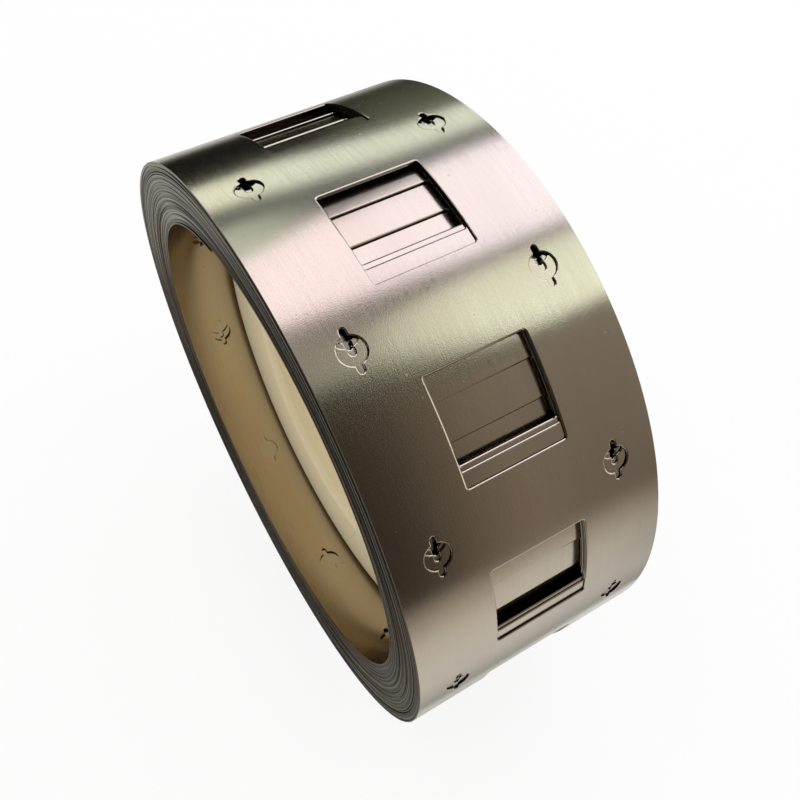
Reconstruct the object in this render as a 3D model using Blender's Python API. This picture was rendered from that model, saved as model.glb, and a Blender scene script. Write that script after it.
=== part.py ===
"""Coil of punched nickel strip for joining round battery cells.

The strip is one length of thin metal, punched with a row of square windows down its middle and
with pairs of slotted holes between them, and wound on itself into a ring. The coil stands on its
rim. Its axis is X, +Z is up, and the origin is under its middle, on the rim's lowest line.

The coil is one turned solid. Its outside and its bore follow the winding's spiral, so each shows
the step of one strip end. Every turn carries the same punching, a little out of step with the
turn over it, so a window is a well with a tread wherever a turn covers part of the next one.
A plain core ring, narrower than the strip, fits in the middle of the bore.
"""
import math

import bmesh
import bpy

# Strip, in metres
STRIP_WIDTH = 0.027
TURN_PITCH = 0.0001632
PUNCH_PITCH = 0.0185
WINDOW_LENGTH = 0.010
WINDOW_WIDTH = 0.010
HOLE_ROW_SPACING = 0.0185
HOLE_RADIUS = 0.00127
SLOT_LENGTH = 0.0040
SLOT_WIDTH = 0.00055
FIRST_WINDOW = 0.0124

# Winding, and the steps that its turns make on the two ends
OUTER_RADIUS = 0.0328
FULL_TURNS = 39
END_BANDS = 7
BAND_STEP = 0.00025
NEAR_DISH = 0.0004

# Core ring, in the middle of the bore
CORE_WIDTH = 0.012
CORE_WALL = 0.0099
CORE_CLEARANCE = 0.0003
CORE_CHAMFER = 0.0005

# How finely the round is drawn, and the facets where the two strip ends lie
FACETS = 66
OUTER_END_FACET = 7
INNER_END_FACET = 24
ARC_STEP = 0.0025
HOLE_STATIONS = 9
LENS_STATIONS = 5

# Cutting allowances
AIR = 0.001
LEAST_OPENING = 0.001
LEAST_TREAD = 0.0002
END_MARGIN = 0.0005
TIP_SHARE = 0.4
LENS_SHARE = 0.94

METAL_COLOUR = (0.60, 0.55, 0.47, 1.0)
METAL_ROUGHNESS = 0.32
CORE_COLOUR = (0.80, 0.74, 0.58, 1.0)
CORE_ROUGHNESS = 0.6
SMOOTH_LIMIT = math.radians(30.0)

FULL_CIRCLE = 2.0 * math.pi
FACET_ANGLE = FULL_CIRCLE / FACETS
OUTER_END_ANGLE = math.pi + (OUTER_END_FACET + 0.5) * FACET_ANGLE
WOUND_ANGLE = FULL_CIRCLE * FULL_TURNS + INNER_END_FACET * FACET_ANGLE
FIRST_HOLE = FIRST_WINDOW - PUNCH_PITCH / 2.0

# The two faces that punching is seen from: each has the way that its turns are counted
FROM_OUTSIDE = 1
FROM_BORE = -1


def turn_radius(wound):
    """Outside radius of the strip after it has wound through this angle from its outer end."""
    return OUTER_RADIUS - TURN_PITCH * wound / FULL_CIRCLE


def bore_radius(wound):
    """Radius of the bore's wall at this winding angle of the innermost turn."""
    return turn_radius(wound) - TURN_PITCH


def strip_length(wound):
    """Length of strip from its outer end to this winding angle."""
    return OUTER_RADIUS * wound - TURN_PITCH * wound * wound / (2.0 * FULL_CIRCLE)


def wound_at(length):
    """Winding angle at this length of strip, the inverse of strip_length."""
    reach = OUTER_RADIUS * OUTER_RADIUS - TURN_PITCH * length / math.pi
    return (OUTER_RADIUS - math.sqrt(reach)) * FULL_CIRCLE / TURN_PITCH


def lowest_corner():
    """Distance from the axis down to the lowest corner of the rim."""
    corners = [step * FACET_ANGLE for step in range(FACETS)]
    return max(-turn_radius(wound) * math.cos(OUTER_END_ANGLE + wound) for wound in corners)


AXIS_HEIGHT = lowest_corner()


def point(x, radius, wound):
    """Place in the part's frame. The winding runs from the top down over the front, at -Y."""
    angle = OUTER_END_ANGLE + wound
    return (x, -radius * math.sin(angle), AXIS_HEIGHT + radius * math.cos(angle))


def add_object(name, bm):
    """Turn the mesh into a scene object with its faces pointing out."""
    bmesh.ops.recalc_face_normals(bm, faces=bm.faces[:])
    mesh = bpy.data.meshes.new(name)
    bm.to_mesh(mesh)
    bm.free()
    thing = bpy.data.objects.new(name, mesh)
    bpy.context.scene.collection.objects.link(thing)
    return thing


# The wound ring

def band_depth(band, dish):
    """How far a band of turns lies back from the outermost one."""
    return BAND_STEP * (band % 2) + dish * band / (END_BANDS - 1)


def end_circles(bm, side, dish):
    """Circles of the steps on one end, from the outside in, two at each step."""
    outside = turn_radius(FULL_CIRCLE)
    inside = bore_radius(WOUND_ANGLE - FULL_CIRCLE)
    circles = []
    for band in range(1, END_BANDS):
        radius = outside + (inside - outside) * band / END_BANDS
        for depth in (band_depth(band - 1, dish), band_depth(band, dish)):
            x = side * (STRIP_WIDTH / 2.0 - depth)
            circle = [bm.verts.new(point(x, radius, step * FACET_ANGLE)) for step in range(FACETS)]
            circles.append(circle)
    return circles


def spiral_edge(bm, x, radius_at, first_wound):
    """One winding of a spiral edge, which ends one turn pitch inside its start."""
    wounds = [first_wound + step * FACET_ANGLE for step in range(FACETS + 1)]
    return [bm.verts.new(point(x, radius_at(wound), wound)) for wound in wounds]


def join_circles(bm, first, second):
    """Close the band between two circles."""
    for step in range(FACETS):
        after = (step + 1) % FACETS
        bm.faces.new((first[step], first[after], second[after], second[step]))


def join_spiral(bm, spiral, circle, first_facet, split_step):
    """Close the band between a spiral edge and a circle.

    At the strip end both ends of the spiral lie on one spoke of the circle, so the facet on the
    far side of the spoke, split_step, is closed with three triangles that share the nearer one.
    """
    for step in range(FACETS):
        here = circle[(first_facet + step) % FACETS]
        after = circle[(first_facet + step + 1) % FACETS]
        if step != split_step:
            bm.faces.new((spiral[step], spiral[step + 1], after, here))
        elif step == 0:
            split_facet(bm, spiral[0], spiral[1], spiral[-1], here, after)
        else:
            split_facet(bm, spiral[-1], spiral[-2], spiral[0], after, here)


def split_facet(bm, far_end, beside, near_end, spoke, next_spoke):
    """Close the facet beside the strip end, where far_end, near_end and spoke lie on one line."""
    bm.faces.new((far_end, beside, near_end))
    bm.faces.new((near_end, beside, next_spoke))
    bm.faces.new((near_end, next_spoke, spoke))


def join_spirals(bm, near, far):
    """Close the wall between the two ends' spiral edges, and the step of the strip end."""
    for step in range(FACETS):
        bm.faces.new((near[step], near[step + 1], far[step + 1], far[step]))
    bm.faces.new((near[-1], near[0], far[0], far[-1]))


def wound_ring():
    """The coil before punching: a ring between two spirals, with its turns stepped on the ends."""
    bm = bmesh.new()
    last_turn = WOUND_ANGLE - FULL_CIRCLE
    edges = []
    for side, dish in ((-1.0, NEAR_DISH), (1.0, 0.0)):
        circles = end_circles(bm, side, dish)
        for land in range(1, len(circles)):
            join_circles(bm, circles[land - 1], circles[land])
        rim = spiral_edge(bm, side * STRIP_WIDTH / 2.0, turn_radius, 0.0)
        join_spiral(bm, rim, circles[0], 0, 0)
        bore_x = side * (STRIP_WIDTH / 2.0 - band_depth(END_BANDS - 1, dish))
        bore = spiral_edge(bm, bore_x, bore_radius, last_turn)
        join_spiral(bm, bore, circles[-1], INNER_END_FACET, FACETS - 1)
        edges.append((rim, bore))
    (near_rim, near_bore), (far_rim, far_bore) = edges
    join_spirals(bm, near_rim, far_rim)
    join_spirals(bm, near_bore, far_bore)
    return add_object("nickel_strip_coil", bm)


# The punching, as solids to cut away

def punch_centres(first, half_length, wound_from, wound_to):
    """Winding angles of the punchings that lie whole between two winding angles."""
    low = strip_length(wound_from) + half_length + END_MARGIN
    high = strip_length(wound_to) - half_length - END_MARGIN
    numbers = range(math.ceil((low - first) / PUNCH_PITCH), math.floor((high - first) / PUNCH_PITCH) + 1)
    return [wound_at(first + number * PUNCH_PITCH) for number in numbers]


def seen_centres(first, half_length, face):
    """Winding angles of the punchings in the one turn that shows on this face."""
    if face == FROM_OUTSIDE:
        return punch_centres(first, half_length, 0.0, FULL_CIRCLE)
    return punch_centres(first, half_length, WOUND_ANGLE - FULL_CIRCLE, WOUND_ANGLE)


def shift(first, wound, turns, face):
    """How far back along the strip the punching lies, this many turns under the one that shows."""
    length = strip_length(wound + face * turns * FULL_CIRCLE) - first
    return (length + PUNCH_PITCH / 2.0) % PUNCH_PITCH - PUNCH_PITCH / 2.0


def depth_radius(wound, turns, face):
    """Radius of the surface under this many turns."""
    if face == FROM_OUTSIDE:
        return turn_radius(wound) - TURN_PITCH * turns
    return bore_radius(wound) + TURN_PITCH * turns


def open_levels(wound, face):
    """For each turn under a window, the stretch of the window that is still open in it."""
    low = -WINDOW_LENGTH / 2.0
    high = WINDOW_LENGTH / 2.0
    levels = []
    for turns in range(FULL_TURNS):
        back = shift(FIRST_WINDOW, wound, turns, face)
        turn_low = -WINDOW_LENGTH / 2.0 - back
        turn_high = WINDOW_LENGTH / 2.0 - back
        low = turn_low if turn_low - low > LEAST_TREAD else low
        high = turn_high if high - turn_high > LEAST_TREAD else high
        if high - low < LEAST_OPENING:
            break
        levels.append((low, high))
    return levels


def between(start, end):
    """Offsets that divide the stretch from start to end, without its two ends."""
    count = int(abs(end - start) / ARC_STEP)
    return [start + (end - start) * part / (count + 1) for part in range(1, count + 1)]


def well_outline(wound, face):
    """Side view of a window's well: offsets along the strip with radii, round its treads."""
    levels = open_levels(wound, face)
    air = depth_radius(wound, 0, face) + face * AIR
    sides = ([(levels[0][0], air)], [(levels[0][1], air)])
    for turns, level in enumerate(levels):
        tread = depth_radius(wound, turns, face)
        floor = depth_radius(wound, turns + 1, face)
        for side, offset in zip(sides, level):
            last = side[-1][0]
            if turns and offset == last:
                side.pop()
            elif turns:
                side.extend((stop, tread) for stop in between(last, offset))
                side.append((offset, tread))
            side.append((offset, floor))
    left, right = sides
    bottom = [(stop, left[-1][1]) for stop in between(left[-1][0], right[-1][0])]
    return left + bottom + right[::-1]


def add_well(bm, wound, face):
    """One window's well, extruded across the strip."""
    outline = well_outline(wound, face)
    surface = depth_radius(wound, 0, face)
    walls = []
    for x in (-WINDOW_WIDTH / 2.0, WINDOW_WIDTH / 2.0):
        corners = [point(x, radius, wound + offset / surface) for offset, radius in outline]
        walls.append([bm.verts.new(corner) for corner in corners])
    near, far = walls
    bm.faces.new(near)
    bm.faces.new(far)
    for step in range(len(near)):
        bm.faces.new((near[step - 1], near[step], far[step], far[step - 1]))


def hole_half_width(offset):
    """Half the width of a slotted hole, this far along the strip from its centre."""
    disc = math.sqrt(max(0.0, HOLE_RADIUS ** 2 - offset ** 2))
    return max(disc, SLOT_WIDTH / 2.0)


def lens_half_width(offset, back):
    """Half the width of what a hole and the one a turn under it have in common."""
    here = max(0.0, HOLE_RADIUS ** 2 - offset ** 2)
    under = max(0.0, HOLE_RADIUS ** 2 - (offset + back) ** 2)
    return LENS_SHARE * math.sqrt(min(here, under))


def add_loft(bm, wound, face, x, offsets, half_widths, depths):
    """A flat solid that follows the winding, with its half width given at each offset."""
    surface = depth_radius(wound, 0, face)
    sections = []
    for offset, half in zip(offsets, half_widths):
        angle = wound + offset / surface
        corners = ((x - half, depths[0]), (x + half, depths[0]), (x + half, depths[1]), (x - half, depths[1]))
        sections.append([bm.verts.new(point(across, radius, angle)) for across, radius in corners])
    for here, after in zip(sections, sections[1:]):
        for corner in range(4):
            bm.faces.new((here[corner - 1], here[corner], after[corner], after[corner - 1]))
    bm.faces.new(sections[0])
    bm.faces.new(sections[-1])


def blunt(half_widths):
    """Half widths with both tips rounded off, as a punch leaves them."""
    tip = TIP_SHARE * SLOT_WIDTH / 2.0
    return [tip] + half_widths[1:-1] + [tip]


def add_hole(bm, wound, face, x):
    """The part of a slotted hole in the turn that shows."""
    steps = range(HOLE_STATIONS)
    offsets = [SLOT_LENGTH * (step / (HOLE_STATIONS - 1) - 0.5) for step in steps]
    half_widths = blunt([hole_half_width(offset) for offset in offsets])
    depths = (depth_radius(wound, 0, face) + face * AIR, depth_radius(wound, 1, face))
    add_loft(bm, wound, face, x, offsets, half_widths, depths)


def add_lens(bm, wound, face, x):
    """The part of a hole's circle that is still open in the next turn."""
    back = shift(FIRST_HOLE, wound, 1, face)
    middle = -back / 2.0
    reach = LENS_SHARE * (HOLE_RADIUS - abs(back) / 2.0)
    if 2.0 * reach < LEAST_OPENING / 2.0:
        return
    steps = range(LENS_STATIONS)
    offsets = [middle + reach * (2.0 * step / (LENS_STATIONS - 1) - 1.0) for step in steps]
    half_widths = blunt([lens_half_width(offset, back) for offset in offsets])
    depths = (depth_radius(wound, 0.5, face), depth_radius(wound, 2, face))
    add_loft(bm, wound, face, x, offsets, half_widths, depths)


def window_cutter(face):
    """All the windows of one face, as wells."""
    bm = bmesh.new()
    for wound in seen_centres(FIRST_WINDOW, WINDOW_LENGTH / 2.0, face):
        add_well(bm, wound, face)
    return add_object("window_cutter", bm)


def hole_cutter(face, add_shape):
    """Both rows of one face's holes, at the depth that add_shape gives them."""
    bm = bmesh.new()
    for wound in seen_centres(FIRST_HOLE, SLOT_LENGTH / 2.0, face):
        for x in (-HOLE_ROW_SPACING / 2.0, HOLE_ROW_SPACING / 2.0):
            add_shape(bm, wound, face, x)
    return add_object("hole_cutter", bm)


def cut(thing, cutter):
    """Cut the cutter's shape out of the coil."""
    cutter.hide_render = True
    cutter.display_type = 'WIRE'
    modifier = thing.modifiers.new(cutter.name, 'BOOLEAN')
    modifier.operation = 'DIFFERENCE'
    modifier.solver = 'EXACT'
    modifier.object = cutter


# The core ring

def core_profile():
    """Half section of the core: places along the axis with radii, with its four edges chamfered."""
    half = CORE_WIDTH / 2.0
    outside = bore_radius(WOUND_ANGLE) - CORE_CLEARANCE
    inside = outside - CORE_WALL
    return (
        (-half, inside + CORE_CHAMFER),
        (-half, outside - CORE_CHAMFER),
        (-half + CORE_CHAMFER, outside),
        (half - CORE_CHAMFER, outside),
        (half, outside - CORE_CHAMFER),
        (half, inside + CORE_CHAMFER),
        (half - CORE_CHAMFER, inside),
        (-half + CORE_CHAMFER, inside),
    )


def core_ring():
    """The core's section turned about the coil's axis, on the same facets as the bore."""
    bm = bmesh.new()
    profile = core_profile()
    sections = []
    for step in range(FACETS):
        corners = [point(x, radius, step * FACET_ANGLE) for x, radius in profile]
        sections.append([bm.verts.new(corner) for corner in corners])
    for step in range(FACETS):
        here = sections[step - 1]
        after = sections[step]
        for corner in range(len(profile)):
            bm.faces.new((here[corner - 1], here[corner], after[corner], after[corner - 1]))
    return add_object("winding_core", bm)


def finish(thing, name, colour, metallic, roughness):
    """Give the object its material, and shade its round faces smooth."""
    material = bpy.data.materials.new(name)
    material.use_nodes = True
    shader = material.node_tree.nodes["Principled BSDF"]
    shader.inputs["Base Color"].default_value = colour
    shader.inputs["Metallic"].default_value = metallic
    shader.inputs["Roughness"].default_value = roughness
    thing.data.materials.append(material)
    thing.data.shade_smooth()
    thing.data.set_sharp_from_angle(angle=SMOOTH_LIMIT)


def build():
    """Wind the ring, punch it from the outside and from the bore, and fit its core."""
    for old in list(bpy.data.objects):
        bpy.data.objects.remove(old, do_unlink=True)
    coil = wound_ring()
    finish(coil, "nickel", METAL_COLOUR, 1.0, METAL_ROUGHNESS)
    for face in (FROM_OUTSIDE, FROM_BORE):
        cut(coil, window_cutter(face))
        cut(coil, hole_cutter(face, add_hole))
        cut(coil, hole_cutter(face, add_lens))
    finish(core_ring(), "core", CORE_COLOUR, 0.0, CORE_ROUGHNESS)


build()
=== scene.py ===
# %% [markdown]
# # A coil of punched nickel strip
#
# Battery makers join round cells with thin nickel strip. It is slit to width, punched with a window
# and a pair of slotted holes for each row of cells, and wound on itself round a pale core. Its looks
# come from three things: a long strip that follows one spiral, punching that drifts from turn to
# turn, and a satin metal that shows whatever stands round it.
#
# The CAD solids are the frame for all of it. They are loaded first.

# %% Load the frame
import math

import bmesh
import bpy
from mathutils import Matrix, Vector
from mathutils.geometry import delaunay_2d_cdt


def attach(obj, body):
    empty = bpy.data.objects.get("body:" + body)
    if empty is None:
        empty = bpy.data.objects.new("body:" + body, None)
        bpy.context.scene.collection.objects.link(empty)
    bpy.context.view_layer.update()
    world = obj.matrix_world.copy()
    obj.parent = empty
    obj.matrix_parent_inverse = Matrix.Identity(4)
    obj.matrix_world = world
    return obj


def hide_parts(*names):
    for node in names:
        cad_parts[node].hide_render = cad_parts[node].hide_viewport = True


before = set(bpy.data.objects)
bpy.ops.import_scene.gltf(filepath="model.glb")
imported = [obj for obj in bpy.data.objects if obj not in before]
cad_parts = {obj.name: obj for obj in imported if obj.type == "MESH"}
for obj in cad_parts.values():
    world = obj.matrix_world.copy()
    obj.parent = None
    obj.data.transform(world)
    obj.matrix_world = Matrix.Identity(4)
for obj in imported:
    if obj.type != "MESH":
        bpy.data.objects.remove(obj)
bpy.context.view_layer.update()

MM = 0.001                                 # every length below is in metres
COIL_NODE = "nickel_strip_coil"
CORE_NODE = "winding_core"

# %% [markdown]
# The numbers below describe the winding. They are the ones that the solid was made from: the strip
# lies on a spiral that loses one turn pitch of radius in each turn, starting at the outer cut end.
# The radius at the inner end follows from the strip's length, because the strip fills the ring
# between its two ends.

# %% Sizes of the strip and of its winding
STRIP_WIDTH = 27.0 * MM
STRIP_THICKNESS = 0.15 * MM
TURN_PITCH = 0.1632 * MM
OUTER_RADIUS = 32.8 * MM
AXIS_HEIGHT = 32.620 * MM
OUTER_END_ANGLE = math.radians(220.909)    # from the top towards the front
LEAST_GAP = 0.002 * MM                     # between turns that press on each other
DISH = 0.42 * MM                           # how far the innermost turn has slid along the axis
UNEVENNESS = 0.22 * MM                     # how far the other turns may stand out of line
INNER_LIFT = 0.3 * MM                      # how far the inner end's tip stands off its turn

PUNCH_PITCH = 18.5 * MM
WINDOW_SIZE = 10.0 * MM
WINDOW_CORNER = 0.25 * MM
HOLE_ROW_SPACING = 18.5 * MM
HOLE_RADIUS = 1.27 * MM
SLOT_LENGTH = 4.0 * MM
SLOT_WIDTH = 0.55 * MM
HOLES_AT = 3.15 * MM                       # from the start of each pitch of punching
WINDOW_AT = HOLES_AT + PUNCH_PITCH / 2

PITCHES_IN_ALL = 395                       # whole punching pitches from end to end
TAIL_LENGTH = 9.4 * MM                     # the cut piece after them, at the inner end
FINE_OUTSIDE = 88                          # punched pitches in the turns that the windows show
FINE_INSIDE = 20                           # punched pitches in the turns that show in the bore

half_width = STRIP_WIDTH / 2
strip_length = PITCHES_IN_ALL * PUNCH_PITCH + TAIL_LENGTH
inner_radius = math.sqrt(OUTER_RADIUS ** 2 - TURN_PITCH * strip_length / math.pi)
winding_turns = strip_length / (math.pi * (OUTER_RADIUS + inner_radius))
print("strip:", round(strip_length, 3), "m in", round(winding_turns, 2), "turns")
print("radius at the inner end in mm:", round(inner_radius / MM, 2))

# %% [markdown]
# ## The camera
#
# The picture is taken from above the coil's near end, a little rolled. Camera and coil were fitted
# together, so the place and the lens are plain numbers here. The view transform is Standard, which
# shows a colour as it is written.

# %% Camera
CAMERA_AT = Vector((-0.02914, -0.05716, 0.11258))
CAMERA_LOOK = Vector((0.31325, 0.54173, -0.78000)).normalized()
CAMERA_RIGHT = Vector((0.85758, -0.51419, -0.01271)).normalized()
CAMERA_LENS = 39.608
CAMERA_SENSOR = 36.0


def add_object(name, data):
    """Puts a new object with this mesh or camera into the scene."""
    made = bpy.data.objects.new(name, data)
    bpy.context.scene.collection.objects.link(made)
    return made


camera_data = bpy.data.cameras.new("camera")
camera_data.lens = CAMERA_LENS
camera_data.sensor_width = CAMERA_SENSOR
camera_data.clip_start = 0.005
camera = add_object("camera", camera_data)
camera_up = CAMERA_RIGHT.cross(CAMERA_LOOK)
camera_turn = Matrix((CAMERA_RIGHT, camera_up, -CAMERA_LOOK)).transposed().to_4x4()
camera.matrix_world = Matrix.Translation(CAMERA_AT) @ camera_turn
bpy.context.scene.camera = camera
bpy.context.scene.view_settings.view_transform = "Standard"
print("camera is", round(CAMERA_AT.length / MM), "mm from the origin")

# %% [markdown]
# ## One pitch of the punching, flat
#
# The press makes the same cuts again and again, so one pitch of the strip is modelled flat, and then
# repeated. A pitch holds one square window and a pair of round holes with a slot through each, which
# makes the welding current go the long way round. The punch also pulls the sheet's edge down with
# it, and this rolled lip is what catches the light as a thin bright or dark outline.
#
# A flat sheet with holes could be cut with Booleans, but these give uneven faces that show once the
# sheet is bent. Here the outlines go into a triangulation with straight cross lines every millimetre
# or so, so that the sheet bends into a smooth curve.

# %% Outlines of the cuts
SLOT_END_STEPS, HOLE_STEPS, CORNER_STEPS = 4, 9, 3


def arc(u, v, radius, start, end, steps):
    """Points on an arc round (u, v), from the start angle to the end angle."""
    angles = [start + (end - start) * step / steps for step in range(steps + 1)]
    return [(u + radius * math.cos(angle), v + radius * math.sin(angle)) for angle in angles]


def slotted_hole(u, v, grow=0.0):
    """Outline of a round hole with a slot through it along the strip, grown outwards all round."""
    neck = SLOT_WIDTH / 2 + grow
    radius = HOLE_RADIUS + grow
    slot_end = (SLOT_LENGTH - SLOT_WIDTH) / 2
    start = math.asin(neck / radius)
    outline = []
    for side in (0.0, math.pi):
        slot_u = u + slot_end * math.cos(side)
        outline += arc(slot_u, v, neck, side - math.pi / 2, side + math.pi / 2, SLOT_END_STEPS)
        outline += arc(u, v, radius, side + start, side + math.pi - start, HOLE_STEPS)
    return outline


def square_window(u, v, grow=0.0):
    """Outline of a square window with slightly rounded corners, grown outwards all round."""
    arm = WINDOW_SIZE / 2 - WINDOW_CORNER
    corner = WINDOW_CORNER + grow
    outline = []
    for quarter, (along, across) in enumerate(((1, 1), (-1, 1), (-1, -1), (1, -1))):
        start = math.pi / 2 * quarter
        outline += arc(u + along * arm, v + across * arm, corner, start, start + math.pi / 2, CORNER_STEPS)
    return outline


# A lip is a list of (how far from the cut, how far below the sheet).
WINDOW_LIP = ((0.0, 0.112 * MM), (0.02 * MM, 0.092 * MM), (0.08 * MM, 0.028 * MM), (0.17 * MM, 0.0))
HOLE_LIP = ((0.0, 0.075 * MM), (0.045 * MM, 0.027 * MM), (0.12 * MM, 0.0))
CUTS = (
    (square_window, WINDOW_AT, 0.0, WINDOW_LIP),
    (slotted_hole, HOLES_AT, HOLE_ROW_SPACING / 2, HOLE_LIP),
    (slotted_hole, HOLES_AT, -HOLE_ROW_SPACING / 2, HOLE_LIP),
)
print("points in a hole's outline:", len(slotted_hole(0, 0)))

# %% Helpers for the flat sheet
def with_crossings(outline, lines):
    """The outline with a point added wherever it crosses one of the cross lines."""
    full = []
    for (u0, v0), (u1, v1) in zip(outline, outline[1:] + outline[:1]):
        full.append((u0, v0))
        between = [u for u in lines if min(u0, u1) + 1e-9 < u < max(u0, u1) - 1e-9]
        for u in sorted(between, reverse=u1 < u0):
            full.append((u, v0 + (v1 - v0) * (u - u0) / (u1 - u0)))
    return full


def inside(point, outline):
    """Whether the point lies inside the outline, by counting the sides that a line from it crosses."""
    u, v = point
    odd = False
    for (u0, v0), (u1, v1) in zip(outline, outline[1:] + outline[:1]):
        if (v0 > v) != (v1 > v) and u < u0 + (u1 - u0) * (v - v0) / (v1 - v0):
            odd = not odd
    return odd


def key(u, v):
    """A name for a point of the sheet, the same for all points within a hair of it. It counts whole
    thousandths of a millimetre, and the part added keeps round sizes away from the step between two."""
    return round(u / MM * 1000 + 0.237), round(v / MM * 1000 + 0.237)


def triangulate(lines, outlines, holes):
    """Triangles of the sheet between its edges, along the cross lines and outlines, without the holes."""
    points, edges = [], []
    for u in lines:
        points += [(u, -half_width), (u, half_width)]
        edges.append((len(points) - 2, len(points) - 1))
    for outline in outlines:
        first = len(points)
        points += outline
        edges += [(first + i, first + (i + 1) % len(outline)) for i in range(len(outline))]
    flat = [Vector((u / MM, v / MM)) for u, v in points]
    _, _, faces, sources, _, _ = delaunay_2d_cdt(flat, edges, [], 0, 1e-5)
    triangles = []
    for face in faces:
        corners = [points[sources[i][0]] for i in face]
        middle = (sum(u for u, _ in corners) / 3, sum(v for _, v in corners) / 3)
        if not any(inside(middle, hole) for hole in holes):
            triangles.append(corners)
    return triangles


def triangles_in(mesh):
    """How many triangles the mesh's faces make."""
    return sum(len(face.vertices) - 2 for face in mesh.polygons)

# %% [markdown]
# The sheet is closed: a top, a bottom, the walls of the cuts and the two slit edges. Its start and end
# stay open, because there the next pitch joins on. Only the strip's own two ends are closed, and the
# inner one is cut through a window.
#
# Each face carries a number, so that one material can tell the surfaces apart: 0 for the rolled
# faces, 1 for the slit edges, and 2 for the walls of the cuts and for the deepest part of the lips,
# where the sheet tore.

# %% Build the flat pieces
SLIT_EDGE = 1.0
PUNCHED_WALL = 2.0
# The torn lip faces count as walls, so in the finish they take the walls' painted shade as well as their
# roughness.
TORN_DEPTH = 0.065 * MM                    # a lip deeper than this is as rough as the wall under it
PUNCHED_COLUMNS = 16
PLAIN_COLUMNS = 12


def flat_piece(columns, punched):
    """One pitch of strip, flat: u along it, v across it, and its outer face at height 0. Also gives
    the function that finds a corner of it."""
    lines = [PUNCH_PITCH * i / columns for i in range(columns + 1)]
    holes, lips, drop = [], [], {}
    for outline, along, across, lip in CUTS if punched else ():
        rings = [with_crossings(outline(along, across, grow), lines) for grow, _ in lip]
        holes.append(rings[0])
        lips += rings
        for (_, depth), ring in zip(lip, rings):
            drop.update({key(u, v): depth for u, v in ring})
    bm = bmesh.new()
    sheared = bm.faces.layers.float.new("sheared")
    found = {}

    def corner(u, v, side):
        spot = (key(u, v), side)
        if spot not in found:
            depth = STRIP_THICKNESS if side == "inner" else drop.get(spot[0], 0.0)
            found[spot] = bm.verts.new((u, v, -depth))
        return found[spot]

    def wall(p, q, kind):
        face = bm.faces.new((corner(*p, "outer"), corner(*q, "outer"),
                             corner(*q, "inner"), corner(*p, "inner")))
        face[sheared] = kind

    for side, outlines in (("outer", lips), ("inner", holes)):
        for triangle in triangulate(lines, outlines, holes):
            corners = [corner(u, v, side) for u, v in triangle]
            if len(set(corners)) == 3:
                face = bm.faces.new(corners if side == "outer" else corners[::-1])
                torn = side == "outer" and all(-vert.co.z > TORN_DEPTH for vert in corners)
                face[sheared] = PUNCHED_WALL if torn else 0.0
    for hole in holes:
        for p, q in zip(hole, hole[1:] + hole[:1]):
            wall(p, q, PUNCHED_WALL)
    for u0, u1 in zip(lines, lines[1:]):
        wall((u0, half_width), (u1, half_width), SLIT_EDGE)
        wall((u1, -half_width), (u0, -half_width), SLIT_EDGE)
    return bm, corner


def as_object(name, bm):
    """Turns the flat piece into an object that the tree can place."""
    mesh = bpy.data.meshes.new(name)
    bm.to_mesh(mesh)
    bm.free()
    print(name, "has", triangles_in(mesh), "triangles")
    return add_object(name, mesh)


start_bm, start_corner = flat_piece(PUNCHED_COLUMNS, True)
start_bm.faces.new((start_corner(0, -half_width, "outer"), start_corner(0, half_width, "outer"),
                    start_corner(0, half_width, "inner"), start_corner(0, -half_width, "inner")))
end_bm, _ = flat_piece(PUNCHED_COLUMNS, True)
everything = list(end_bm.verts) + list(end_bm.edges) + list(end_bm.faces)
bmesh.ops.bisect_plane(end_bm, geom=everything, dist=1e-7, plane_co=(TAIL_LENGTH, 0, 0),
                       plane_no=(1, 0, 0), clear_outer=True)
cut_edges = [edge for edge in end_bm.edges
             if edge.is_boundary and all(vert.co.x > TAIL_LENGTH - 1e-6 for vert in edge.verts)]
bmesh.ops.holes_fill(end_bm, edges=cut_edges, sides=0)

FLAT_PIECES = {
    "Start piece": as_object("flat_start", start_bm),
    "Punched piece": as_object("flat_punched", flat_piece(PUNCHED_COLUMNS, True)[0]),
    "Plain piece": as_object("flat_plain", flat_piece(PLAIN_COLUMNS, False)[0]),
    "End piece": as_object("flat_end", end_bm),
}

# %% [markdown]
# ## Winding the strip
#
# A wound strip follows one rule. At the distance u from its outer end, the spiral has turned by an
# angle that comes from the strip's length, and its radius has shrunk by one turn pitch in each turn. A
# Geometry Nodes tree fits this well: it lays the flat pieces end to end, joins them, and moves each
# point to its place on the spiral. Since the pitch of the punching doesn't divide a turn's length, the
# windows drift from turn to turn by themselves, and each window shows the stepped edges below it.
#
# Only the outer turns that show through the windows and the two innermost turns are laid with punched
# pieces. The turns between them are hidden, so they are laid with plain ones, which keeps the mesh
# light.

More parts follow.
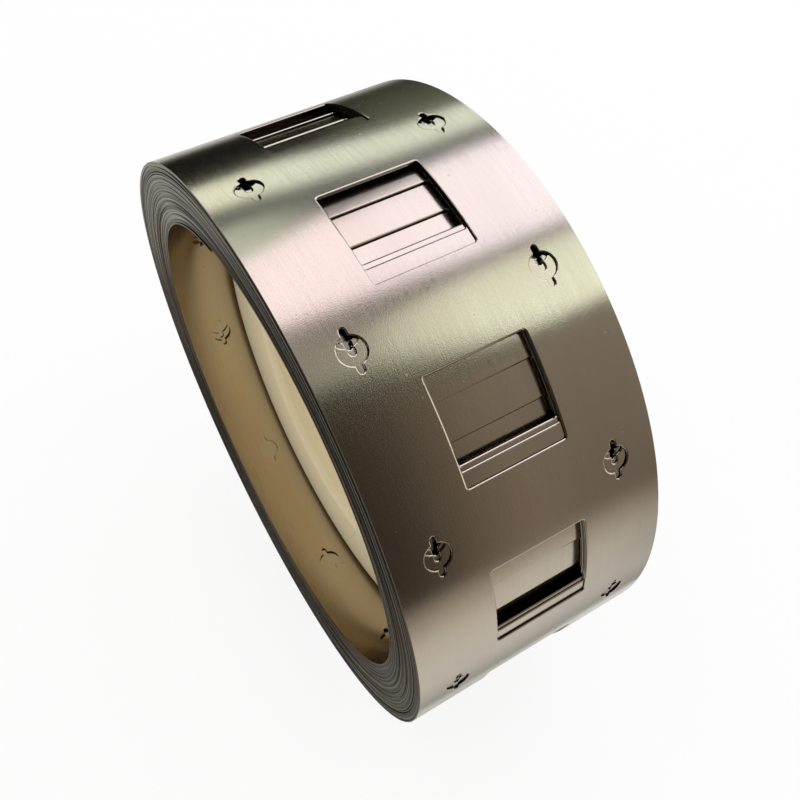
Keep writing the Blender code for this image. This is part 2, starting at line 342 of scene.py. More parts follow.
# %% Small helpers for node trees
class Tree:
    """A node tree with short ways to add a node and to do sums in it."""

    def __init__(self, tree):
        self.tree = tree

    def node(self, kind, settings=None, **inputs):
        """Adds a node of this kind, with its settings, and with its inputs given by their names."""
        made = self.tree.nodes.new(kind)
        for setting, value in (settings or {}).items():
            setattr(made, setting, value)
        for label, value in inputs.items():
            self.feed(made.inputs[label.replace("_", " ")], value)
        return made

    def feed(self, socket, value):
        """Links another node's output to the socket, or writes a plain value there."""
        if isinstance(value, bpy.types.NodeSocket):
            self.tree.links.new(value, socket)
        else:
            socket.default_value = value

    def feed_all(self, made, *values):
        """Feeds the node's first sockets in their order."""
        for socket, value in zip(made.inputs, values):
            self.feed(socket, value)
        return made.outputs[0]

    def maths(self, operation, a, b=0.0):
        return self.feed_all(self.node("ShaderNodeMath", {"operation": operation}), a, b)

    def plus(self, a, b):
        return self.maths("ADD", a, b)

    def minus(self, a, b):
        return self.maths("SUBTRACT", a, b)

    def times(self, a, b):
        return self.maths("MULTIPLY", a, b)

    def over(self, a, b):
        return self.maths("DIVIDE", a, b)

    def ease(self, value, start, end, low=0.0, high=1.0, shape="SMOOTHSTEP"):
        """Goes from low to high while the value goes from start to end, and stays level outside."""
        made = self.node("ShaderNodeMapRange", {"interpolation_type": shape})
        return self.feed_all(made, value, start, end, low, high)

    def vector(self, x, y, z=0.0):
        return self.feed_all(self.node("ShaderNodeCombineXYZ"), x, y, z)

    def split(self, vector):
        return self.node("ShaderNodeSeparateXYZ", Vector=vector).outputs

    def noise_along(self, value, scale, detail=2.0):
        """Noise that depends on one number only."""
        made = self.node("ShaderNodeTexNoise", {"noise_dimensions": "1D"},
                         W=value, Scale=scale, Detail=detail)
        return made.outputs[0]

    def mix(self, share, a, b):
        """The colour a, turned into b by this share."""
        made = self.node("ShaderNodeMix", {"data_type": "RGBA"})
        for socket, value in ((0, share), (6, a), (7, b)):
            self.feed(made.inputs[socket], value)
        return made.outputs[2]

# %% The tree's named inputs
WIND_INPUTS = {
    "Start piece": ("NodeSocketObject", FLAT_PIECES["Start piece"]),
    "Punched piece": ("NodeSocketObject", FLAT_PIECES["Punched piece"]),
    "Plain piece": ("NodeSocketObject", FLAT_PIECES["Plain piece"]),
    "End piece": ("NodeSocketObject", FLAT_PIECES["End piece"]),
    "Pitches": ("NodeSocketInt", PITCHES_IN_ALL),
    "Punched outside": ("NodeSocketInt", FINE_OUTSIDE),
    "Punched inside": ("NodeSocketInt", FINE_INSIDE),
    "Punch pitch": ("NodeSocketFloat", PUNCH_PITCH),
    "Outer radius": ("NodeSocketFloat", OUTER_RADIUS),
    "Turn pitch": ("NodeSocketFloat", TURN_PITCH),
    "Tight pitch": ("NodeSocketFloat", STRIP_THICKNESS + LEAST_GAP),
    "Outer end angle": ("NodeSocketFloat", OUTER_END_ANGLE),
    "Axis height": ("NodeSocketFloat", AXIS_HEIGHT),
    "Dish": ("NodeSocketFloat", DISH),
    "Unevenness": ("NodeSocketFloat", UNEVENNESS),
    "Inner lift": ("NodeSocketFloat", INNER_LIFT),
    "Finish": ("NodeSocketMaterial", None),
}
wind_tree = bpy.data.node_groups.new("wind_the_strip", "GeometryNodeTree")
for label, (kind, _) in WIND_INPUTS.items():
    wind_tree.interface.new_socket(label, in_out="INPUT", socket_type=kind)
wind_tree.interface.new_socket("Geometry", in_out="OUTPUT", socket_type="NodeSocketGeometry")
wind = Tree(wind_tree)
given = wind.node("NodeGroupInput").outputs
print("the tree has", len(WIND_INPUTS), "inputs")

# %% Lay the pieces end to end
JOIN_WITHIN = 0.002 * MM


def compare(operation, a, b):
    made = wind.node("FunctionNodeCompare", {"data_type": "INT", "operation": operation})
    wind.feed(made.inputs[2], a)
    wind.feed(made.inputs[3], b)
    return made.outputs[0]


def both(operation, a, b):
    return wind.feed_all(wind.node("FunctionNodeBooleanMath", {"operation": operation}), a, b)


line = wind.node("GeometryNodeMeshLine", Count=wind.plus(given["Pitches"], 1),
                 Offset=wind.vector(given["Punch pitch"], 0.0))
index = wind.node("GeometryNodeInputIndex").outputs[0]
is_first = compare("EQUAL", index, 0)
is_last = compare("EQUAL", index, given["Pitches"])
is_outside = compare("LESS_THAN", index, given["Punched outside"])
is_inside = compare("GREATER_EQUAL", index, wind.minus(given["Pitches"], given["Punched inside"]))
is_punched = both("OR", is_outside, is_inside)
is_middle = both("NOR", is_first, is_last)
choices = {
    "Start piece": is_first,
    "Punched piece": both("AND", is_punched, is_middle),
    "Plain piece": both("NOR", is_punched, is_last),
    "End piece": is_last,
}
laid = wind.node("GeometryNodeJoinGeometry")
for label, chosen in choices.items():
    piece = wind.node("GeometryNodeObjectInfo", Object=given[label]).outputs["Geometry"]
    placed = wind.node("GeometryNodeInstanceOnPoints", Points=line.outputs[0],
                       Selection=chosen, Instance=piece)
    wind_tree.links.new(placed.outputs[0], laid.inputs[0])
pieces = wind.node("GeometryNodeRealizeInstances", Geometry=laid.outputs[0])
flat_strip = wind.node("GeometryNodeMergeByDistance", Geometry=pieces.outputs[0], Distance=JOIN_WITHIN)

# %% [markdown]
# No coil is perfect. Some turns lie tight and others have a hair of air between them, and the turns
# don't stand exactly level. The air is a list of steps, and the level comes from noise with a fixed
# seed, so the coil is the same on each run. Towards the bore the turns slide along the axis, which
# dishes the near end, and the tip of the inner end springs off its turn.

# %% Work out each point's turn, radius and slide
# Air between the turns opens in steps: (turn at the middle of the step, its height in mm).
LOOSE_TURNS = (
    (1.35, 0.050), (2.9, 0.020), (5.95, 0.085), (6.95, 0.090), (11.9, 0.045), (15.4, 0.030),
    (19.1, 0.035), (23.7, 0.020), (28.2, 0.025), (32.6, 0.020), (36.4, 0.021))
LOOSE_SPREAD = 0.35                        # turns on each side of the middle
TIP_TURNS = 0.11                           # length of the lifted tip
WAVE_SEED = 17.3
WAVES_PER_TURN = 0.8
LEVEL_TO, UNEVEN_FROM = 0.6, 2.0           # turns: the outermost ones stand level
DISH_CURVE = 1.3                           # above 1, most of the slide is near the bore

u, v, height = wind.split(wind.node("GeometryNodeInputPosition").outputs[0])
outer = given["Outer radius"]
inner_square = wind.minus(wind.times(outer, outer), wind.times(u, wind.over(given["Turn pitch"], math.pi)))
wound = wind.over(wind.times(u, 2.0), wind.plus(outer, wind.maths("SQRT", inner_square)))
angle = wind.plus(wound, given["Outer end angle"])
turn = wind.over(wound, 2 * math.pi)

settled = wind.times(turn, given["Tight pitch"])
for at_turn, gap in LOOSE_TURNS:
    opened = wind.ease(turn, at_turn - LOOSE_SPREAD, at_turn + LOOSE_SPREAD, 0.0, gap * MM)
    settled = wind.plus(settled, opened)
lift_share = wind.ease(turn, winding_turns - TIP_TURNS, winding_turns, shape="LINEAR")
lift = wind.times(wind.times(lift_share, lift_share), given["Inner lift"])
radius = wind.minus(wind.plus(wind.minus(outer, settled), height), lift)
slope = wind.over(wind.times(lift_share, given["Inner lift"]), TIP_TURNS * math.pi * inner_radius)

waves = wind.minus(wind.noise_along(wind.plus(turn, WAVE_SEED), WAVES_PER_TURN), 0.5)
uneven = wind.times(wind.times(waves, given["Unevenness"]), 2.0)
uneven = wind.times(uneven, wind.ease(turn, LEVEL_TO, UNEVEN_FROM))
dish_share = wind.maths("POWER", wind.over(turn, winding_turns), DISH_CURVE)
slide = wind.plus(uneven, wind.times(dish_share, given["Dish"]))

# %% [markdown]
# A mesh of flat faces would shade in facets. Smooth shading alone would blur the sharp cuts, so the
# tree keeps each flat face's own normal and turns it with the spiral. The curve then shades as a
# curve, and the edges stay crisp. The run along the strip, the place across it and the turn's number
# are stored too, for the finish.

# %% Move the points onto the spiral and turn the normals with them
def capture(geometry, domain, kind, value):
    """Keeps a value as it is now, before the points move."""
    held = wind.node("GeometryNodeCaptureAttribute", {"domain": domain})
    held.capture_items.new(kind, "value")
    wind_tree.links.new(geometry, held.inputs[0])
    wind.feed(held.inputs[1], value)
    return held.outputs[0], held.outputs[1]


def round_the_axis(along, outwards, across, by):
    """The vector that has these parts along the strip, outwards and across it, at the given angle."""
    sine, cosine = wind.maths("SINE", by), wind.maths("COSINE", by)
    y = wind.times(wind.plus(wind.times(along, cosine), wind.times(outwards, sine)), -1.0)
    z = wind.minus(wind.times(outwards, cosine), wind.times(along, sine))
    return wind.vector(across, y, z)


strip, flat_normal = capture(flat_strip.outputs[0], "FACE", "VECTOR",
                             wind.node("GeometryNodeInputNormal").outputs[0])
strip, facing = capture(strip, "POINT", "FLOAT", wind.minus(angle, slope))
strip, run = capture(strip, "POINT", "VECTOR", wind.vector(u, v, turn))
on_spiral = wind.feed_all(wind.node("ShaderNodeVectorMath", {"operation": "ADD"}),
                          round_the_axis(0.0, radius, wind.plus(v, slide), angle),
                          wind.vector(0.0, 0.0, given["Axis height"]))
moved = wind.node("GeometryNodeSetPosition", Geometry=strip, Position=on_spiral)

normal_along, normal_across, normal_out = wind.split(flat_normal)
shaded = wind.node("GeometryNodeSetMeshNormal", {"mode": "FREE", "domain": "CORNER"})
wind.feed(shaded.inputs["Mesh"], moved.outputs[0])
wind.feed(shaded.inputs["Custom Normal"], round_the_axis(normal_along, normal_out, normal_across, facing))

mapped = wind.node("GeometryNodeStoreNamedAttribute", {"data_type": "FLOAT2", "domain": "CORNER"},
                   Geometry=shaded.outputs[0], Name="strip_run", Value=run)
numbered = wind.node("GeometryNodeStoreNamedAttribute", {"data_type": "FLOAT", "domain": "POINT"},
                     Geometry=mapped.outputs[0], Name="turn", Value=wind.split(run)[2])
real = wind.node("GeometryNodeRealizeInstances", Geometry=numbered.outputs[0])
finished = wind.node("GeometryNodeSetMaterial", Geometry=real.outputs[0], Material=given["Finish"])
wind.node("NodeGroupOutput", Geometry=finished.outputs[0])
print("the tree has", len(wind_tree.nodes), "nodes")

# %% [markdown]
# ## The metal
#
# Rolled nickel is a warm grey metal with a satin skin. The rolls leave fine streaks along the strip,
# the annealing leaves soft mottling, and handling leaves a few rough specks. All of them follow the
# strip and not the coil, so each pattern is read from a map whose first axis is the distance along the
# strip and whose second is the distance across it, both in metres.
#
# The slit edges are duller, and change from dark to pale from one group of turns to the next; their
# dark end is painted shade of the gaps between the turns. The walls of the punching carry painted
# shade where the windows show them, for the shade deep in the wells. Those of the inner turns lie open
# in the bore, and look like the strip. The innermost turns also have a painted golden tone: painted
# reflection of the light that bounces between the nickel walls of the bore.

# %% Nickel finish
NICKEL = (0.62, 0.56, 0.475, 1.0)
NICKEL_SHADE = (0.52, 0.46, 0.385, 1.0)
NICKEL_TINT = (0.55, 0.475, 0.40, 1.0)
BOUNCE_GOLD_NICKEL = (0.60, 0.485, 0.335, 1.0)
SHEARED_METAL_AND_GAP_SHADE = (0.035, 0.030, 0.024, 1.0)
SHEARED_PALE = (0.36, 0.33, 0.285, 1.0)
PAINTED_WELL_SHADE = (0.045, 0.037, 0.028, 1.0)
BOUNCE_GOLD_FROM, BOUNCE_GOLD_TO = 37.0, 37.5        # turns
OPEN_FROM, OPEN_TO = 20.0, 21.0            # turns: further in, no window shows the walls
EDGE_CHANGES_PER_TURN = 0.6
SHEARED_ROUGHNESS = 0.22                   # added to the rolled face's roughness
SPECK_ROUGHNESS = 0.18
GRAIN_DEPTH = 0.008 * MM


def blank_material(name):
    """A new material without nodes, and the tree to build it in."""
    material = bpy.data.materials.new(name)
    material.use_nodes = True
    material.node_tree.nodes.clear()
    return material, Tree(material.node_tree)


nickel, metal = blank_material("rolled_nickel")
run_map = metal.node("ShaderNodeUVMap", {"uv_map": "strip_run"}).outputs[0]


def pattern(along, across, detail=2.0, roughness=0.5, shift=0.0):
    """Noise whose grains are this long along the strip and this wide across it, in millimetres. The
    shift takes it from another place in the noise, so that no two patterns match."""
    scaled = metal.node("ShaderNodeMapping", Vector=run_map, Location=(shift, shift, shift),
                        Scale=(1 / (along * MM), 1 / (across * MM), 1.0))
    noise = metal.node("ShaderNodeTexNoise", Vector=scaled.outputs[0], Scale=1.0,
                       Detail=detail, Roughness=roughness)
    return noise.outputs["Fac"]


def attribute(name):
    return metal.node("ShaderNodeAttribute", {"attribute_name": name}).outputs["Fac"]


streaks = pattern(5.0, 0.12)
long_streaks = pattern(45.0, 0.5, shift=3.1)
mottle = pattern(0.11, 0.10, detail=1.0, roughness=0.6, shift=7.7)
clouds = pattern(22.0, 9.0, shift=11.9)
specks = metal.ease(pattern(0.55, 0.45, detail=0.0, shift=23.1), 0.84, 0.88)
sheared = attribute("sheared")
sheared_share = metal.ease(sheared, 0.0, SLIT_EDGE, shape="LINEAR")
turns = attribute("turn")

shade = metal.plus(metal.times(streaks, 0.35), metal.times(long_streaks, 0.25))
shade = metal.ease(metal.plus(shade, metal.times(mottle, 0.4)), 0.35, 0.65)
rolled = metal.mix(metal.times(shade, 0.35), NICKEL, NICKEL_SHADE)
rolled = metal.mix(metal.ease(clouds, 0.38, 0.68, 0.0, 0.45), rolled, NICKEL_TINT)
# Painted reflection: the innermost turns turn golden, for the light bounced between the bore's nickel
# walls.
rolled = metal.mix(metal.ease(turns, BOUNCE_GOLD_FROM, BOUNCE_GOLD_TO, 0.0, 0.6), rolled, BOUNCE_GOLD_NICKEL)

# Painted shade: the slit edges' dark colour stands in for the shade in the gaps between the turns; the
# change to pale from group to group is the metal's own.
edge_change = metal.noise_along(turns, EDGE_CHANGES_PER_TURN)
edge = metal.mix(metal.ease(edge_change, 0.36, 0.68), SHEARED_METAL_AND_GAP_SHADE, SHEARED_PALE)
# Painted shade: the punched walls and torn lip faces are near black in the turns that the windows show,
# for the shade deep in the wells; further in they take the strip's colour.
punched = metal.mix(metal.ease(turns, OPEN_FROM, OPEN_TO, 0.0, 0.8), PAINTED_WELL_SHADE, NICKEL_SHADE)
edge = metal.mix(metal.ease(sheared, SLIT_EDGE, PUNCHED_WALL, shape="LINEAR"), edge, punched)
colour = metal.mix(sheared_share, rolled, edge)

rough = metal.plus(metal.ease(mottle, 0.3, 0.7, 0.15, 0.20), metal.ease(streaks, 0.3, 0.7, -0.015, 0.02))
rough = metal.plus(rough, metal.times(sheared_share, SHEARED_ROUGHNESS))
rough = metal.plus(rough, metal.times(specks, SPECK_ROUGHNESS))
relief = metal.plus(metal.times(streaks, 0.2), metal.times(mottle, 0.8))
bump = metal.node("ShaderNodeBump", Strength=0.6, Distance=GRAIN_DEPTH, Height=relief)

skin = metal.node("ShaderNodeBsdfPrincipled", Base_Color=colour, Metallic=1.0, Roughness=rough,
                  Normal=bump.outputs[0])
metal.node("ShaderNodeOutputMaterial", Surface=skin.outputs[0])
print("nickel finish has", len(nickel.node_tree.nodes), "nodes")

# %% Wind it and keep the result as a plain mesh
WIND_INPUTS["Finish"] = ("NodeSocketMaterial", nickel)
carrier = add_object("carrier", bpy.data.meshes.new("carrier"))
winding = carrier.modifiers.new("wind_the_strip", "NODES")
winding.node_group = wind_tree
for item in wind_tree.interface.items_tree:
    if item.in_out == "INPUT":
        winding[item.identifier] = WIND_INPUTS[item.name][1]
wound_carrier = carrier.evaluated_get(bpy.context.evaluated_depsgraph_get())
coil_mesh = bpy.data.meshes.new_from_object(wound_carrier)
coil_mesh.name = "nickel_strip"
coil = add_object("nickel_strip", coil_mesh)
for helper in [carrier, *FLAT_PIECES.values()]:
    bpy.data.objects.remove(helper)


def open_edges(mesh):
    """How many edges don't join exactly two faces."""
    bm = bmesh.new()
    bm.from_mesh(mesh)
    count = sum(len(edge.link_faces) != 2 for edge in bm.edges)
    bm.free()
    return count


print("wound strip:", triangles_in(coil_mesh), "triangles,", open_edges(coil_mesh), "open edges")

# %% [markdown]
# ## The core
#
# A plain pale ring fills the middle of the bore. It is narrower than the strip, so the slotted holes
# near the strip's edges stay open. Its shape is one profile turned about the axis, which the Screw
# modifier or a spin could make too. Here a loop lays the rings of points, because that closes the ring
# without a seam.

# %% Core ring
CORE_HALF_WIDTH = 6.0 * MM
CORE_HOLE_RADIUS = 16.0 * MM
CORE_RADIUS = 25.91 * MM
CORE_ROUNDING = 1.2 * MM
CORE_FACETS = 192
ROUNDING_STEPS = 8


def core_profile():
    """Section of the core as (x, radius): round its four corners, from the near side at the hole."""
    corners = ((-1, CORE_HOLE_RADIUS, 1, 270), (-1, CORE_RADIUS, -1, 180),
               (1, CORE_RADIUS, -1, 90), (1, CORE_HOLE_RADIUS, 1, 0))
    profile = []
    for side, corner_radius, inwards, start in corners:
        profile += arc(side * (CORE_HALF_WIDTH - CORE_ROUNDING), corner_radius + inwards * CORE_ROUNDING,
                       CORE_ROUNDING, math.radians(start), math.radians(start - 90), ROUNDING_STEPS)
    return profile


section = core_profile()
ring_points, ring_faces = [], []
for step in range(CORE_FACETS):
    a = 2 * math.pi * step / CORE_FACETS
    ring_points += [(x, -r * math.sin(a), AXIS_HEIGHT + r * math.cos(a)) for x, r in section]
    here, after = step * len(section), (step + 1) % CORE_FACETS * len(section)
    for k in range(len(section)):
        following = (k + 1) % len(section)
        ring_faces.append((here + k, after + k, after + following, here + following))
core_mesh = bpy.data.meshes.new("core")
core_mesh.from_pydata(ring_points, [], ring_faces)
core_mesh.update()
core_mesh.shade_smooth()
core = add_object("core", core_mesh)
print("core:", triangles_in(core_mesh), "triangles,", open_edges(core_mesh), "open edges")

# %% [markdown]
# The photographed core is smooth and cream, and is taken for wound paper. Its two sides show the
# edges of the layers, so that pattern depends only on the distance from the axis. Fine fibres lie over
# it in all directions. The paper is painted darker towards the strip: painted shade of the corner
# between the core and the strip.

# %% Core finish
PAPER = (0.70, 0.60, 0.38, 1.0)
PAPER_EDGE = (0.60, 0.49, 0.28, 1.0)
PAPER_CORNER_SHADE = (0.22, 0.15, 0.06, 1.0)
CORNER_SHADE_FROM, CORNER_SHADE_TO = 24.0 * MM, 25.9 * MM    # distance from the axis
LAYER_THICKNESS = 0.22 * MM
FIBRE_SIZE = 0.5 * MM
FIBRE_DEPTH = 0.03 * MM

paper, pulp = blank_material("wound_paper")
object_place = pulp.node("ShaderNodeTexCoord").outputs["Object"]
_, sideways, upwards = pulp.split(object_place)
upwards = pulp.minus(upwards, AXIS_HEIGHT)
from_axis = pulp.maths("SQRT", pulp.plus(pulp.times(sideways, sideways), pulp.times(upwards, upwards)))
layers = pulp.noise_along(pulp.over(from_axis, LAYER_THICKNESS), 1.0)
fibres = pulp.node("ShaderNodeTexNoise", Vector=object_place, Scale=1 / FIBRE_SIZE, Detail=3.0).outputs[0]
paper_grain = pulp.plus(pulp.times(layers, 0.6), pulp.times(fibres, 0.4))
paper_colour = pulp.mix(pulp.ease(paper_grain, 0.35, 0.65, 0.0, 0.35), PAPER, PAPER_EDGE)
# Painted shade: the paper darkens towards the strip, for the corner between the core and the strip.
paper_colour = pulp.mix(pulp.ease(from_axis, CORNER_SHADE_FROM, CORNER_SHADE_TO, 0.0, 0.9), paper_colour, PAPER_CORNER_SHADE)
paper_bump = pulp.node("ShaderNodeBump", Strength=0.4, Distance=FIBRE_DEPTH, Height=paper_grain)
paper_skin = pulp.node("ShaderNodeBsdfPrincipled", Base_Color=paper_colour,
                       Roughness=pulp.ease(fibres, 0.3, 0.7, 0.5, 0.65), Normal=paper_bump.outputs[0])
pulp.node("ShaderNodeOutputMaterial", Surface=paper_skin.outputs[0])
core_mesh.materials.append(paper)
print("core finish has", len(paper.node_tree.nodes), "nodes")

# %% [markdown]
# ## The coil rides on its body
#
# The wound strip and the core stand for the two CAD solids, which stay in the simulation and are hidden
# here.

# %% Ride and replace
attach(coil, "root")
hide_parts(COIL_NODE)
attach(core, "root")
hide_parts(CORE_NODE)
print(coil.name, "stands for", COIL_NODE, "and", core.name, "for", CORE_NODE)

# %% [markdown]
# ## Floor and light
#
# Satin metal has little colour of its own: it shows the room. In a studio such a coil stands among
# large soft lamps, with dark and pale cards between them, so that bright and dark bands run along the
# strip. The lamps and cards here are curved panels round the coil's axis and flat cards on the floor,
# and the camera doesn't see them. The floor is plain and pale, and keeps the coil's soft shadow.

# %% Floor and world
FLOOR_HALF = 3.0
FLOOR_LEVEL = -0.05 * MM
FLOOR_PAPER = (0.86, 0.86, 0.85, 1.0)
FLOOR_GLOW = 0.85                          # share of white light over the paper, in the picture
FLOOR_IN_METAL = 0.15                      # share of that glow that the metal reflects
WHITE = (1.0, 1.0, 1.0, 1.0)

pale_floor, ground = blank_material("pale_floor")
rays = ground.node("ShaderNodeLightPath").outputs
in_metal = ground.times(ground.plus(rays["Is Glossy Ray"], rays["Is Transmission Ray"]), FLOOR_IN_METAL)
in_picture = ground.plus(rays["Is Camera Ray"], in_metal)
matte = ground.node("ShaderNodeBsdfDiffuse", Color=FLOOR_PAPER)
glow = ground.node("ShaderNodeEmission", Color=WHITE, Strength=1.0)
blended = ground.node("ShaderNodeMixShader", Fac=ground.times(in_picture, FLOOR_GLOW))
ground.feed(blended.inputs[1], matte.outputs[0])
ground.feed(blended.inputs[2], glow.outputs[0])
ground.node("ShaderNodeOutputMaterial", Surface=blended.outputs[0])

floor_mesh = bpy.data.meshes.new("floor")
floor_corners = ((-1, -1), (1, -1), (1, 1), (-1, 1))
floor_mesh.from_pydata([(x * FLOOR_HALF, y * FLOOR_HALF, FLOOR_LEVEL) for x, y in floor_corners],
                       [], [(0, 1, 2, 3)])
floor_mesh.materials.append(pale_floor)
floor = add_object("floor", floor_mesh)

world = bpy.data.worlds.new("studio")
world.use_nodes = True
world.node_tree.nodes.clear()
sky = Tree(world.node_tree)
wall_light = sky.node("ShaderNodeBackground", Color=WHITE, Strength=1.0)
sky.node("ShaderNodeOutputWorld", Surface=wall_light.outputs[0])
bpy.context.scene.world = world
print("floor is", 2 * FLOOR_HALF, "m wide")

# %% [markdown]
# A panel is drawn from the side in angles round the coil's axis, because that is how the curved strip
# sees it: each line along the strip reflects one direction. Its glow is stored at its points, so one
# panel can fade from one colour to another. Only the lamps light the floor and throw shadows. The
# cards are there for the metal alone.

# %% How a panel and a floor card are made
PANEL_ROWS = 24
CARD_LEVEL = 0.02 * MM

panel_glow, cloth = blank_material("panel_glow")
tint = cloth.node("ShaderNodeAttribute", {"attribute_name": "glow"}).outputs["Color"]
cloth_light = cloth.node("ShaderNodeEmission", Color=tint, Strength=1.0)
cloth.node("ShaderNodeOutputMaterial", Surface=cloth_light.outputs[0])
panels_made = []


def glowing_sheet(name, lines, lamp=False):
    """A sheet through lines of (point, glow). All lines have the same number of points."""
    count = len(lines[0])
    points = [point for line in lines for point, _ in line]
    colours = [part for line in lines for _, glow in line for part in (*glow, 1.0)]
    faces = [(a * count + b, a * count + b + 1, (a + 1) * count + b + 1, (a + 1) * count + b)
             for a in range(len(lines) - 1) for b in range(count - 1)]
    mesh = bpy.data.meshes.new(name)
    mesh.from_pydata(points, [], faces)
    mesh.attributes.new("glow", "FLOAT_COLOR", "POINT").data.foreach_set("color", colours)
    mesh.materials.append(panel_glow)
    made = add_object(name, mesh)
    made.visible_camera = False
    made.visible_diffuse = lamp
    made.visible_shadow = lamp
    panels_made.append(name)


def panel(name, distance, stations, lamp=False):
    """A curved panel round the coil's axis, drawn evenly from each station to the next. A station is
    (x, from angle, to angle, glow there, glow here), in degrees from the top towards the front."""
    lines = []
    for x, start, end, first_glow, last_glow in stations:
        line = []
        for row in range(PANEL_ROWS + 1):
            share = row / PANEL_ROWS
            a = math.radians(start + (end - start) * share)
            glow = [p + (q - p) * share for p, q in zip(first_glow, last_glow)]
            line.append(((x, -distance * math.sin(a), AXIS_HEIGHT + distance * math.cos(a)), glow))
        lines.append(line)
    glowing_sheet(name, lines, lamp)


def floor_card(name, columns, rows):
    """A flat card on the floor: columns of (x, share of the glow here), and rows of
    (y, how far all columns but the first shift in x, glow)."""
    edge = columns[0][0]
    glowing_sheet(name, [[((x + shift if x > edge else x, y, CARD_LEVEL), [share * part for part in glow])
                          for x, share in columns] for y, shift, glow in rows])


# %% Lamps and cards round the coil
PINK_WHITE = (1.66, 1.49, 1.64)
WHITE_PINK = (1.66, 1.61, 1.88)
CREAM = (1.32, 1.42, 1.20)
CREAM_WHITE = (1.18, 1.32, 1.22)
WARM_WHITE = (1.3, 1.25, 1.15)
GREY_GREEN = (0.74, 0.86, 0.74)
BLACK = (0.006, 0.005, 0.004)
DARK_OLIVE = (0.008, 0.010, 0.004)
OLIVE = (0.15, 0.17, 0.12)

# Over the top of the coil, and behind it
panel("top_lamp", 0.80, (
    (0.0, -27, 1, PINK_WHITE, PINK_WHITE),
    (0.18, -27, 1, PINK_WHITE, PINK_WHITE),
    (0.24, -33, 2, PINK_WHITE, PINK_WHITE),
    (0.40, -37.5, 5, WHITE_PINK, WHITE_PINK),
    (1.6, -37.5, 6, WHITE_PINK, WHITE_PINK)), lamp=True)
panel("side_card", 0.81, (
    (0.0, -43, -25, GREY_GREEN, GREY_GREEN),
    (0.18, -43, -25, GREY_GREEN, GREY_GREEN),
    (0.22, -40, -32, GREY_GREEN, GREY_GREEN)))
panel("back_lamp", 0.80, (
    (0.0, -74, -53, CREAM, CREAM),
    (0.18, -74, -53, CREAM, CREAM),
    (0.24, -74, -50, CREAM_WHITE, CREAM_WHITE),
    (0.38, -74, -47, CREAM_WHITE, CREAM_WHITE),
    (1.6, -74, -48, CREAM_WHITE, CREAM_WHITE)), lamp=True)
panel("top_gap_card", 0.83, (
    (0.0, -60, -30, (0.08, 0.10, 0.08), (0.08, 0.10, 0.08)),
    (0.24, -60, -30, (0.09, 0.10, 0.10), (0.09, 0.10, 0.10)),
    (0.38, -60, -30, (0.20, 0.23, 0.21), (0.15, 0.16, 0.17)),
    (1.6, -60, -30, (0.20, 0.23, 0.21), (0.15, 0.16, 0.17))))
panel("back_card", 0.25, (
    (-0.1, -106, -64, BLACK, BLACK),
    (0.060, -106, -64, BLACK, BLACK),
    (0.080, -106, -61, BLACK, BLACK),
    (0.11, -106, -57.5, DARK_OLIVE, OLIVE),
    (0.5, -106, -57, DARK_OLIVE, OLIVE)))

# In front of the coil
panel("front_lamp", 0.50, (
    (0.150, 14, 23, (0.9, 0.97, 0.8), (1.1, 1.18, 0.95)),
    (0.17, 12, 27, (0.9, 0.97, 0.8), (1.2, 1.3, 1.05)),
    (0.20, 10, 32, (1.1, 1.2, 1.0), (1.42, 1.56, 1.32)),
    (0.25, 10, 37, (1.15, 1.25, 1.08), (1.5, 1.66, 1.42)),
    (0.9, 10, 39, (1.15, 1.25, 1.12), (1.5, 1.66, 1.5))), lamp=True)
panel("front_gap_card", 0.82, (
    (0.0, -4, 25, (0.36, 0.30, 0.30), (0.38, 0.40, 0.34)),
    (0.20, -4, 25, (0.36, 0.30, 0.30), (0.38, 0.40, 0.34)),
    (0.26, -4, 28, (0.28, 0.23, 0.24), (0.20, 0.20, 0.17)),
    (0.42, -4, 44, (0.12, 0.10, 0.10), (0.12, 0.11, 0.09)),
    (1.6, -4, 44, (0.16, 0.14, 0.14), (0.14, 0.13, 0.11))))
panel("front_gap_shade", 0.84, (
    (0.0, 20, 45, (0.08, 0.09, 0.07), (0.06, 0.06, 0.05)),
    (1.6, 20, 45, (0.08, 0.09, 0.07), (0.06, 0.06, 0.05))))
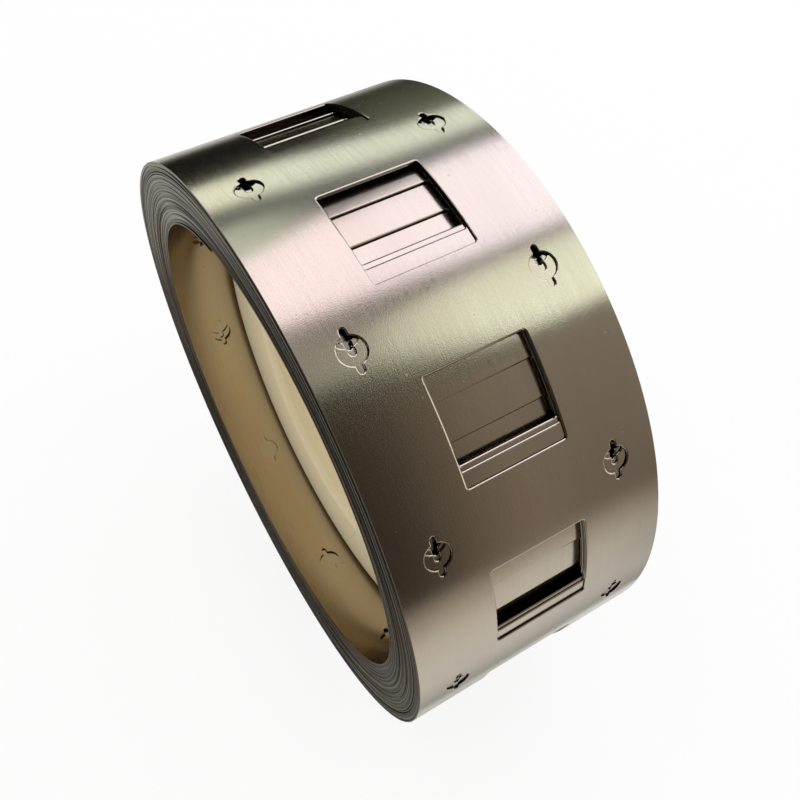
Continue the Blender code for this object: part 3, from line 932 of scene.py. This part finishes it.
panel("front_card", 0.15, (
    (-0.25, 29, 104, (0.045, 0.038, 0.026), (0.045, 0.036, 0.026)),
    (0.022, 29, 104, (0.045, 0.038, 0.026), (0.045, 0.036, 0.026)),
    (0.034, 34, 105, (0.15, 0.125, 0.095), (0.17, 0.14, 0.105)),
    (0.052, 41, 107, (0.31, 0.255, 0.20), (0.29, 0.235, 0.19)),
    (0.064, 41, 112, (0.28, 0.24, 0.20), (0.19, 0.16, 0.13)),
    (0.115, 41, 112, (0.28, 0.24, 0.20), (0.19, 0.16, 0.13)),
    (0.130, 41, 112, WARM_WHITE, WARM_WHITE),
    (0.45, 41, 112, WARM_WHITE, WARM_WHITE)))
panel("left_curtain", 0.60, (
    (-2.0, -102, 102, BLACK, BLACK),
    (-0.03, -102, 102, BLACK, BLACK)))

# On the floor
NEAR_GLOW = (0.32, 0.30, 0.27)
floor_card("near_card", ((-0.6, 1.0), (-0.016, 1.0)), ((-0.3, 0.0, NEAR_GLOW), (0.5, 0.0, NEAR_GLOW)))
floor_card("back_floor_card", ((-0.3, 1.0), (0.03, 1.0), (0.10, 0.5), (0.6, 0.45)), (
    (0.07, 0.0, (0.95, 0.95, 0.90)),
    (0.12, 0.0, (0.90, 0.90, 0.84)),
    (0.17, 0.0, (0.62, 0.62, 0.55)),
    (0.23, 0.0, (0.16, 0.16, 0.13)),
    (0.30, 0.0, (0.01, 0.01, 0.008))))
front_columns = ((-0.0155, 0.6), (-0.014, 1.0), (0.014, 1.0), (0.022, 0.92), (0.031, 0.82),
                 (0.038, 0.66), (0.20, 0.60))
floor_card("front_floor_card", front_columns, (
    (-0.50, 0.25, (0.13, 0.11, 0.09)),
    (-0.160, 0.060, (0.16, 0.135, 0.11)),
    (-0.125, 0.035, (0.36, 0.31, 0.26)),
    (-0.100, 0.022, (0.56, 0.51, 0.45)),
    (-0.075, 0.008, (0.78, 0.76, 0.70)),
    (-0.060, 0.0, (0.80, 0.80, 0.76)),
    # These last two rows dim the card next to the coil: painted shadow of the coil on the floor, as the
    # metal sees it.
    (-0.047, 0.0, (0.74, 0.75, 0.72)),
    (-0.040, 0.0, (0.55, 0.55, 0.51)),
    (-0.034, 0.0, (0.28, 0.28, 0.25))))
print("panels and cards round the coil:", len(panels_made))
